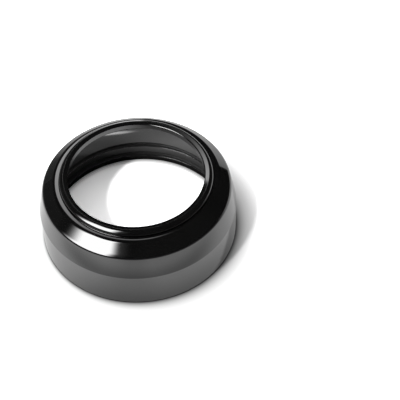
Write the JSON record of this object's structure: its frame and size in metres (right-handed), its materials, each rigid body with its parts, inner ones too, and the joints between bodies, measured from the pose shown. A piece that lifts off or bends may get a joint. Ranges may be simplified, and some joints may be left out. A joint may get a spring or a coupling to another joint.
{
  "type": "fork dust seal cover",
  "caption": "Gloss-black turned collar that covers a motorcycle fork's dust seal: stepped, tapered outside, raised lip round the tube hole, and O-rings seated in grooves in its bore.",
  "frame": {"origin": "on the ring's axis, at the foot that slips over the slider and that the part rests on", "axes": "+Z along the ring's axis, from the foot to the lip; the ring is round, so +X and +Y are free"},
  "size_m": [0.062, 0.062, 0.0248],
  "materials": {
    "gloss_black_metal": "smooth gloss black over turned aluminium",
    "black_rubber": "matt moulded rubber"
  },
  "bodies": {
    "root": {"cover_ring": "gloss_black_metal", "lower_oring": "black_rubber", "upper_oring": "black_rubber"}
  },
  "joints": []
}
